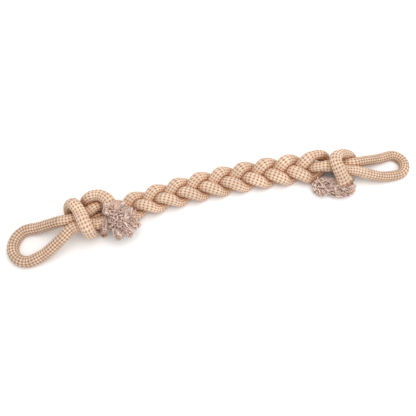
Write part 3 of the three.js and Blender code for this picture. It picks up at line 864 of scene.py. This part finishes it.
@dataclass(frozen=True)
class BraidedCotton:
    """Cotton yarn, spun and braided into a tube: matt and warm, with painted dark brown shade in the creases
    between stitches and painted warm shade between strands.
    """

    tan: str = "#8F6647"
    cream: str = "#DABEA6"
    # painted shade: the dark brown laid on what lies low between the stitches
    painted_crease_shade: str = "#734B32"
    # painted shade: multiplied into the colour where another strand is near, darkening it warmly
    painted_nook_shade: str = "#E6BD95"  # tints the light that gets in between two strands
    nook_shade_reach: float = 0.012  # how near another strand has to be for that
    fibre: float = 0.0004  # width of the fine hairs on the yarn, drawn coarse enough to show
    wear: float = 0.03  # size of the patches that are a little cleaner or dirtier

    def build(self, name: str) -> bpy.types.Material:
        """Make the material.

        Args:
            name: Its name.

        Returns:
            The material.
        """
        values = {"Roughness": 0.92, "IOR": 1.5, "Specular IOR Level": 0.15}
        material, shader = add_material(name, values | {"Sheen Weight": 0.2, "Sheen Roughness": 0.5})
        tree = material.node_tree
        stitch = add_node(tree, "ShaderNodeAttribute", {"attribute_name": "stitch"})
        shares = add_node(tree, "ShaderNodeSeparateColor", {}, {"Color": stitch.outputs["Color"]}).outputs
        place = add_node(tree, "ShaderNodeTexCoord").outputs["Object"]
        fine = {"Vector": place, "Scale": 1 / (4 * self.fibre), "Detail": 3.0, "Roughness": 0.7}
        hairs = add_node(tree, "ShaderNodeTexNoise", {}, fine).outputs["Fac"]
        coarse = {"Vector": place, "Scale": 1 / self.wear, "Detail": 2.0}
        wear = add_node(tree, "ShaderNodeTexNoise", {}, coarse).outputs["Fac"]
        yarns = dict(zip(MIX_INPUTS, (shares["Red"], linear(self.cream), linear(self.tan))))
        colour = add_node(tree, "ShaderNodeMix", {"data_type": "RGBA"}, yarns).outputs[MIX_RESULT]
        # Each yarn has a tone of its own, each patch its wear and each hair its fleck.
        own, worn = (shares["Blue"], 0.0, 1.0, 0.9, 1.06), (wear, 0.3, 0.7, 0.93, 1.05)
        colour = toned(tree, colour, own, worn, (hairs, 0.3, 0.7, 0.92, 1.06))
        # Painted shade darkens what lies low between the stitches, and painted warm shade darkens and tints the
        # colour where another strand lies near.
        painted_nook_shade = add_node(tree, "ShaderNodeAmbientOcclusion", {"samples": 4}, {"Distance": self.nook_shade_reach})
        for steps, ease, tint, blend in (
            ((shares["Green"], 0.2, 0.72, 0.85, 0.0), "SMOOTHSTEP", self.painted_crease_shade, "MIX"),
            ((painted_nook_shade.outputs["AO"], 0.25, 0.85, 1.0, 0.0), "LINEAR", self.painted_nook_shade, "MULTIPLY"),
        ):
            ranged = dict(zip(RANGE_INPUTS, steps))
            much = add_node(tree, "ShaderNodeMapRange", {"interpolation_type": ease}, ranged)
            mixed = dict(zip(MIX_INPUTS, (much.outputs["Result"], colour, linear(tint))))
            kind = {"data_type": "RGBA", "blend_type": blend}
            colour = add_node(tree, "ShaderNodeMix", kind, mixed).outputs[MIX_RESULT]
        tree.links.new(colour, shader.inputs["Base Color"])
        relief = {"Height": hairs, "Strength": 0.35, "Distance": self.fibre}
        bump = add_node(tree, "ShaderNodeBump", {}, relief)
        tree.links.new(bump.outputs["Normal"], shader.inputs["Normal"])
        return material


@dataclass(frozen=True)
class LooseYarn:
    """Loose spun yarn, each thread of its own shade, with the twist of its plies and a soft matt fuzz."""

    shades: tuple[str, ...]
    ply: float = 0.0016  # along the thread, from one turn of the plies to the next
    ply_depth: float = 0.0003

    def build(self, name: str) -> bpy.types.Material:
        """Make the material.

        Args:
            name: Its name.

        Returns:
            The material.
        """
        values = {"Roughness": 0.95, "IOR": 1.5, "Specular IOR Level": 0.1}
        material, shader = add_material(name, values | {"Sheen Weight": 0.25, "Sheen Roughness": 0.5})
        tree = material.node_tree
        thread = add_node(tree, "ShaderNodeAttribute", {"attribute_name": "thread"})
        shares = add_node(tree, "ShaderNodeSeparateColor", {}, {"Color": thread.outputs["Color"]}).outputs
        ramp = add_node(tree, "ShaderNodeValToRGB", {}, {"Fac": shares["Red"]})
        ramp.color_ramp.interpolation = "CONSTANT"
        stops = ramp.color_ramp.elements
        while len(stops) < len(self.shades):
            stops.new(1.0)
        for i, shade in enumerate(self.shades):
            stops[i].position = i / len(self.shades)
            stops[i].color = linear(shade)
        grid = add_node(tree, "ShaderNodeUVMap", {"uv_map": "threads"}).outputs["UV"]
        bands = {"Vector": grid, "Scale": WAVE_PERIOD * GRID_SIZE / self.ply, "Distortion": 1.5, "Detail": 2.0}
        plies = add_node(tree, "ShaderNodeTexWave", {"bands_direction": "DIAGONAL"}, bands).outputs["Fac"]
        # Painted shade and light: a thread is painted darker at its root, deep in the tuft, and lighter towards
        # its tip, and painted darker in the grooves between its plies.
        painted_root_shade, painted_groove_shade = (shares["Green"], 0.0, 1.0, 0.62, 1.17), (plies, 0.0, 1.0, 0.84, 1.04)
        colour = toned(tree, ramp.outputs["Color"], painted_root_shade, painted_groove_shade)
        tree.links.new(colour, shader.inputs["Base Color"])
        relief = {"Height": plies, "Strength": 0.5, "Distance": self.ply_depth}
        bump = add_node(tree, "ShaderNodeBump", {}, relief)
        tree.links.new(bump.outputs["Normal"], shader.inputs["Normal"])
        return material


@dataclass(frozen=True)
class Bunch:
    """Yarns of a tuft that are heaped in one place, which is given from the end of the rope."""

    count: int
    middle: Triple
    size: Triple  # half sizes of the heap
    curled: float = 1.0  # share of the tuft's curl
    inmost: float = 0.55  # where the yarns' tips begin, as a share of the half sizes


# At the left, a heap, what covers the cut end, and six locks that stick out round the heap.
LEFT_HEAP = (
    Bunch(150, (0.006, -0.012, -0.009), (0.017, 0.0165, 0.015)),
    Bunch(60, (-0.001, 0.001, 0.006), (0.011, 0.009, 0.005), 0.8),
    Bunch(44, (0.0235, -0.0185, -0.013), (0.006, 0.006, 0.007), 0.6, 0.3),
    Bunch(44, (0.0135, -0.026, -0.014), (0.006, 0.006, 0.007), 0.6, 0.3),
    Bunch(44, (0.0005, -0.0275, -0.014), (0.006, 0.006, 0.007), 0.6, 0.3),
    Bunch(36, (-0.0145, -0.0156, -0.011), (0.006, 0.006, 0.007), 0.6, 0.3),
    Bunch(44, (0.0115, 0.0085, -0.006), (0.007, 0.006, 0.006), 0.6, 0.3),
    Bunch(44, (0.0195, -0.0025, -0.009), (0.007, 0.007, 0.007), 0.6, 0.3),
)
LEFT_WISPS = (
    Bunch(16, (-0.019, -0.016, -0.027), (0.003, 0.003, 0.004)),
    Bunch(14, (0.0, -0.006, -0.003), (0.01, 0.004, 0.004)),
)
# At the right, two lobes side by side, and short ends of the cover's yarns round the cut end.
RIGHT_LOBES = (
    Bunch(96, (-0.03, 0.0015, -0.0075), (0.0095, 0.0125, 0.0075)),
    Bunch(160, (-0.003, -0.008, -0.007), (0.0175, 0.013, 0.0075)),
)
RIGHT_RIM = (Bunch(40, (-0.001, -0.006, -0.001), (0.012, 0.005, 0.004)),)


@dataclass
class Tuft:
    """Yarn let out of one cut end of the rope, curled and heaped on what is below it."""

    name: str
    kind: YarnKind
    body: str
    bunches: tuple[Bunch, ...]
    thickness: float
    seed: int
    curl: float = 0.0021  # radius of a curl
    curl_rise: float = 2.2  # how fast a curl opens along its yarn
    turns: float = 3.0  # curls on one yarn
    turns_vary: Pair = (0.6, 1.3)  # from yarn to yarn, as shares
    curl_vary: Pair = (0.6, 1.4)
    thickness_vary: Pair = (0.8, 1.2)
    swerve: float = 1.2  # how far a yarn swerves on its way, as a share of the half sizes of its heap
    begin: float = 0.003  # how far inside the cut end the yarns begin
    cover_ring: float = 0.46  # where the cover's yarns begin, in rope diameters from the middle of the rope
    own_rope: float = 0.004  # the stretch at the cut end that the yarns need not stay clear of
    near: float = 0.06  # how far off the rope is looked for that they do stay clear of
    clear: float = 0.6  # from a yarn's middle line to that rope, in yarn thicknesses
    above: float = 0.55  # the same to the table
    tip: float = 0.7  # thickness of a yarn's tip, as a share
    knots: int = 15
    held: int = 3  # knots of a yarn that the rope's end holds in place
    sides: int = 4
    table_gap: float = 0.0001  # kept between a yarn and the table

    @property
    def at_start(self) -> bool:
        """Whether the tuft is at the rope's first ring, or at its last."""
        return self.body == "right_tail"

    @property
    def count(self) -> int:
        """Number of yarns."""
        return sum(bunch.count for bunch in self.bunches)

    def lay(self, rope: Rope, bunch: Bunch, rng: np.random.Generator) -> np.ndarray:
        """Lay the yarns of one bunch from the end of the rope to their places in the heap.

        Args:
            rope: The rope that they come out of and lie on.
            bunch: The bunch.
            rng: Source of the yarns' differences.

        Returns:
            The points of each yarn.
        """
        end = 0 if self.at_start else len(rope.at) - 1
        out = rope.along[end] * (-1.0 if self.at_start else 1.0)
        number = np.arange(bunch.count)
        high = 1 - 2 * (number + 0.5) / bunch.count
        angle = number * GOLDEN_ANGLE
        flat = np.sqrt(1 - high**2)
        ball = np.stack([flat * np.cos(angle), flat * np.sin(angle), high], axis=1)
        ball *= rng.uniform(bunch.inmost, 1.0, (bunch.count, 1))
        goal = rope.at[end] + np.array(bunch.middle) + ball * np.array(bunch.size)
        lean = unit(goal - rope.at[end] - ((goal - rope.at[end]) @ out)[:, None] * out)
        across = rope.stock.core_diameter / 2 * np.sqrt(rng.random(bunch.count))
        if self.kind is YarnKind.COVER:
            across = np.full(bunch.count, rope.stock.diameter * self.cover_ring)
        spot = rope.at[end] + lean * across[:, None] - out * self.begin
        way = goal - spot
        aside = unit(ball + unit(rng.normal(0, 1, ball.shape)) * np.linalg.norm(ball, axis=1)[:, None])
        bend = rope.at[end] + np.array(bunch.middle) + aside * np.array(bunch.size) * self.swerve
        one = unit(np.cross(way, ODD_WAYS[0]))
        two = np.cross(unit(way), one)
        share = np.linspace(0, 1, self.knots)[None, :]
        phase = rng.uniform(0, 2 * math.pi, (bunch.count, 1))
        turns = self.turns * rng.uniform(*self.turns_vary, (bunch.count, 1))
        turns = turns * rng.choice([-1, 1], (bunch.count, 1))
        angle = phase + 2 * math.pi * turns * share
        curl = self.curl * bunch.curled * smooth(share * self.curl_rise)
        curl = curl * rng.uniform(*self.curl_vary, (bunch.count, 1))
        lines = (1 - share)[..., None] ** 2 * spot[:, None] + share[..., None] ** 2 * goal[:, None]
        lines = lines + (2 * share * (1 - share))[..., None] * bend[:, None]
        lines = lines + (curl * np.cos(angle))[..., None] * one[:, None]
        lines = lines + (curl * np.sin(angle))[..., None] * two[:, None]
        near = np.abs(rope.run - rope.run[end]) > self.own_rope
        near &= np.linalg.norm(rope.at - rope.at[end], axis=1) < self.near
        rings = np.nonzero(near)[0][:: rope.squeeze.every]
        free = lines[:, self.held :].reshape(-1, 3)
        for _ in range(2):  # the first push can end in another stretch of the rope
            free = rope.push_out(free, rings, self.thickness * self.clear)
        lines[:, self.held :] = free.reshape(bunch.count, -1, 3)
        lines[..., 2] = np.maximum(lines[..., 2], self.thickness * self.above)
        return lines

    def build(self, rope: Rope, material: bpy.types.Material) -> bpy.types.Object:
        """Make the tuft as one mesh of closed threads.

        Args:
            rope: The rope that it belongs to.
            material: Its finish.

        Returns:
            The new object.
        """
        rng = np.random.default_rng(self.seed)
        lines = np.concatenate([self.lay(rope, bunch, rng) for bunch in self.bunches])
        along = unit(np.gradient(lines, axis=1))
        side = unit(np.cross(along, ODD_WAYS[1]))
        over = np.cross(along, side)
        angles = np.linspace(0, 2 * math.pi, self.sides, endpoint=False)
        radius = self.thickness / 2 * rng.uniform(*self.thickness_vary, (self.count, 1))
        radius = radius * np.concatenate([np.full(self.knots - 1, 1.0), [self.tip]])[None, :]
        spokes = np.cos(angles)[:, None] * side[:, :, None, :] + np.sin(angles)[:, None] * over[:, :, None, :]
        points = lines[:, :, None, :] + spokes * radius[:, :, None, None]
        points[..., 2] = np.maximum(points[..., 2], self.table_gap)
        corners, starts, grid = tube(np.arange(self.knots) * GRID_ROWS, np.arange(self.sides + 1))
        grid[-2 * self.sides :] = 0  # both ends of a thread are plain
        yarn = np.arange(self.count)[:, None]
        faces = (corners + yarn * self.knots * self.sides).ravel(), (starts + yarn * len(corners)).ravel()
        shade = np.broadcast_to(rng.random((self.count, 1, 1)), points.shape[:3])
        # share along each thread, from which its finish paints shade at the root and light at the tip
        out = np.broadcast_to(np.linspace(0, 1, self.knots)[None, :, None], shade.shape)
        shares = np.stack([shade, out, shade], axis=-1).reshape(-1, 3)
        grids = np.tile(grid, (self.count, 1))
        return add_piece(
            self.name, points.reshape(-1, 3), faces, ("thread", shares), ("threads", grids), material
        )


@dataclass
class TugToy:
    """The whole toy: lengths of one rope between its bends, and the tufts at its two ends."""

    lay: ToyLay = ToyLay()
    stock: RopeStock = RopeStock()
    cover: BraidedCotton = BraidedCotton()
    core: LooseYarn = LooseYarn(
        ("#E8CEC0", "#DABCAD", "#E2C5B6", "#CBAB9B", "#EED8CB", "#D4B4A4", "#BFA090")
    )
    fray: LooseYarn = LooseYarn(("#C58A5C", "#B0744A", "#CF9A6C", "#DDBB96"))
    bend_place: float = -2.0  # of the plait's left bend along the toy, in rope diameters
    cut_place: float = 3.9  # from the toy's middle to where a strand is cut on either side, in rope diameters
    rope_bend: Pair = (0.024, 0.024)  # length of rope that bends before and after a joint
    loop_bend: Pair = (0.009, 0.02)
    tail_bend: Pair = (0.006, 0.006)
    path_step: int = 4  # rings from one point of a cord's path to the next

    def __post_init__(self) -> None:
        """Read the joints of the solids, and follow the rope in their frame."""
        self.joints = {joint["name"]: joint for joint in frame["joints"]}
        bend = self.place(Joint.PLAIT_LEFT)
        local = self.lay.lying(self.bend_place * self.lay.diameter, 0.0, 0.0)
        self.shift = np.array([bend[0] - local[0], bend[1] - local[1], 0.0])
        self.rope = Rope(self.lay, self.stock, self.shift)
        log.info("rope of %.3f m, shifted by %s", self.rope.length, self.shift.round(5))

    def place(self, joint: Joint) -> np.ndarray:
        """Give the place of a joint."""
        return np.array(self.joints[joint.value]["pos_m"], float)

    def heading(self, joint: Joint) -> np.ndarray:
        """Find which way the rope goes on from a joint.

        Args:
            joint: The joint.

        Returns:
            A direction of length one: on a tail towards its cut end, and elsewhere outwards along the toy.
        """
        middle, step = self.place(joint), 0.001
        if joint in TAILS:
            ring = int(np.argmin(np.linalg.norm(self.rope.at - middle, axis=1)))
            return self.rope.along[ring] * (-1.0 if joint is Joint.RIGHT_TAIL else 1.0)
        local = middle[0] - self.shift[0]
        slope = (self.lay.middle_line(local + step) - self.lay.middle_line(local - step)) / (2 * step)
        return (1.0 if local > 0 else -1.0) * unit(np.array([1.0, slope, 0.0]))

    def cuts(self, letter: str) -> dict[str, int]:
        """Find the rings where one strand of the plait is cut into lengths.

        Args:
            letter: The strand.

        Returns:
            The ring at each cut.
        """
        places = {"left": -self.cut_place, "middle": 0.0, "right": self.cut_place}
        return {
            side: self.rope.ring_along(f"run_{letter}", self.shift[0] + along * self.lay.diameter)
            for side, along in places.items()
        }

    def build(self) -> None:
        """Make every length of the rope and every tuft, and let the tufts move with the bodies of the toy."""
        cotton = self.cover.build("braided_cotton_cover")
        rope = self.rope
        a, b, c = (self.cuts(letter) for letter in "abc")
        # The necks and the tails are cut at way points, which are counted from the first of a stretch.
        left_neck = rope.ring_at("left_leg_a", 2), rope.ring_at("left_leg_b", 1)
        right_neck = rope.ring_at("right_leg_b", 3), rope.ring_at("right_leg_c", 1)
        right_tail, left_tail = rope.ring_at("right_turns", 1.4), rope.ring_at("left_turns", 21.4)
        # Each length begins where the one before it stops: its name, where it stops, the joint that it
        # crosses, and the solids whose place it takes.
        lengths = (
            ("right_tail_rope", right_tail, Joint.RIGHT_TAIL, ("right_tail",)),
            ("right_knot_turns_rope", a["right"], Joint.RIGHT_KNOT, ("right_knot_turns",)),
            ("plait_strand_a_right", a["middle"], Joint.PLAIT_RIGHT, ("plait_right_strand_a",)),
            ("plait_strand_a_left", a["left"], Joint.PLAIT_LEFT, ("plait_middle_strand_a",)),
            ("left_neck_rope_a", left_neck[0], Joint.LEFT_KNOT, ("plait_left_strand_a", "left_knot_leg_a")),
            ("left_loop_rope", left_neck[1], Joint.LEFT_LOOP, ("left_loop",)),
            ("left_neck_rope_b", b["left"], Joint.LEFT_KNOT, ("plait_left_strand_b", "left_knot_leg_b")),
            ("plait_strand_b_left", b["middle"], Joint.PLAIT_LEFT, ("plait_middle_strand_b",)),
            ("plait_strand_b_right", b["right"], Joint.PLAIT_RIGHT, ("plait_right_strand_b",)),
            ("right_neck_rope_b", right_neck[0], Joint.RIGHT_KNOT, ("right_knot_leg_b",)),
            ("right_loop_rope", right_neck[1], Joint.RIGHT_LOOP, ("right_loop",)),
            ("right_neck_rope_c", c["right"], Joint.RIGHT_KNOT, ("right_knot_leg_c",)),
            ("plait_strand_c_right", c["middle"], Joint.PLAIT_RIGHT, ("plait_right_strand_c",)),
            ("plait_strand_c_left", c["left"], Joint.PLAIT_LEFT, ("plait_middle_strand_c",)),
            ("left_knot_turns_rope", left_tail, Joint.LEFT_KNOT, ("plait_left_strand_c", "left_knot_turns")),
            ("left_tail_rope", len(rope.at) - 1, Joint.LEFT_TAIL, ("left_tail",)),
        )
        start = 0
        for name, stop, joint, stems in lengths:
            piece = rope.piece(name, start, stop, cotton)
            self.join(piece, joint)
            nodes = [f"{stem}_{layer}" for stem in stems for layer in ("cover", "core")]
            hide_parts(*[node for node in nodes if node in frame["nodes"]])
            log.info("%s: %d faces", name, len(piece.data.polygons))
            start = stop
        self.build_tufts()

    def join(self, piece: bpy.types.Object, joint: Joint) -> None:
        """Bake the place of a length of rope into its points.

        Args:
            piece: The length of rope.
            joint: The joint that it crosses.
        """
        middle, way = self.place(joint), self.heading(joint)
        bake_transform(piece)

    def build_tufts(self) -> None:
        """Fray both cut ends of the rope: the core in a tuft, and the ends of the cover's yarns round it."""
        core = self.core.build("reclaimed_cotton_yarn")
        cover = self.fray.build("frayed_cover_yarn")
        tufts = (
            Tuft("left_tassel_yarn", YarnKind.CORE, "left_tail", LEFT_HEAP, 0.0016, 3),
            Tuft("left_tassel_fray", YarnKind.COVER, "left_tail", LEFT_WISPS, 0.0014, 5, curl=0.0008),
            Tuft("right_tassel_yarn", YarnKind.CORE, "right_tail", RIGHT_LOBES, 0.0018, 7),
            Tuft("right_tassel_fray", YarnKind.COVER, "right_tail", RIGHT_RIM, 0.0014, 9, curl=0.0008),
        )
        for tuft in tufts:
            piece = tuft.build(self.rope, core if tuft.kind is YarnKind.CORE else cover)
            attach(piece, tuft.body)
            if tuft.kind is YarnKind.CORE:
                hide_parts(tuft.body.replace("tail", "tassel"))
            log.info("%s: %d faces", tuft.name, len(piece.data.polygons))


@dataclass(frozen=True)
class SoftLight:
    """A soft square light that faces the toy."""

    name: str
    place: Triple
    size: float  # length of its sides
    power: float  # in watts

    def build(self) -> None:
        """Hang the light."""
        bpy.ops.object.light_add(type="AREA", location=self.place)
        light = bpy.context.object
        light.name = self.name
        light.data.size = self.size
        light.data.energy = self.power
        x, y, z = self.place
        light.rotation_euler = (math.atan2(math.hypot(x, y), z), 0.0, math.atan2(x, -y))


@dataclass
class Studio:
    """A pale table top under soft light, seen at the photograph's angle."""

    azimuth: float = -14.5
    elevation: float = 65.0
    distance: float = 0.6815
    view: float = 41.52  # angle of view, in degrees
    target: Triple = (-0.01077, -0.0104, 0.012)
    surround: float = 0.9  # strength of the white light from all sides
    floor_size: float = 6.0
    lights: tuple[SoftLight, ...] = (
        SoftLight("overhead_light", (0.1, 0.05, 0.85), 0.7, 3.4),
        SoftLight("window_light", (0.9, -0.9, 1.4), 1.2, 8.0),
    )

    def build(self) -> None:
        """Set up the floor, the lights and the camera."""
        scene = bpy.context.scene
        scene.view_settings.view_transform = "Standard"
        self.build_floor()
        for light in self.lights:
            light.build()
        scene.world = bpy.data.worlds.new("studio")
        scene.world.use_nodes = True
        background = scene.world.node_tree.nodes["Background"]
        background.inputs["Color"].default_value = linear("#FFFFFF")
        background.inputs["Strength"].default_value = self.surround
        self.build_camera()

    def build_floor(self) -> None:
        """Lay the pale table top: painted board, matt and even."""
        bpy.ops.object.select_all(action="DESELECT")
        bpy.ops.mesh.primitive_plane_add(size=self.floor_size, location=(0, 0, 0))
        floor = bpy.context.object
        floor.name = "table_top"
        values = {"Base Color": linear("#F6F5F4"), "Roughness": 0.9, "Specular IOR Level": 0.1}
        paint, _ = add_material("white_board", values)
        floor.data.materials.append(paint)

    def build_camera(self) -> None:
        """Stand the camera where the photograph was taken from."""
        a, e = math.radians(self.azimuth), math.radians(self.elevation)
        back = (math.sin(a) * math.cos(e), -math.cos(a) * math.cos(e), math.sin(e))
        place = [t + self.distance * b for t, b in zip(self.target, back)]
        bpy.ops.object.camera_add(location=place, rotation=(math.pi / 2 - e, 0.0, a))
        camera = bpy.context.object
        camera.name = "photo_camera"
        camera.data.sensor_width = SENSOR_WIDTH
        camera.data.lens = SENSOR_WIDTH / 2 / math.tan(math.radians(self.view) / 2)
        camera.data.clip_start = 0.01
        bpy.context.scene.camera = camera


def main() -> None:
    """Build the toy and the studio."""
    logging.basicConfig(level=logging.INFO, format="%(name)s: %(message)s")
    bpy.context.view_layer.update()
    TugToy().build()
    Studio().build()


if __name__ == "__main__":
    main()
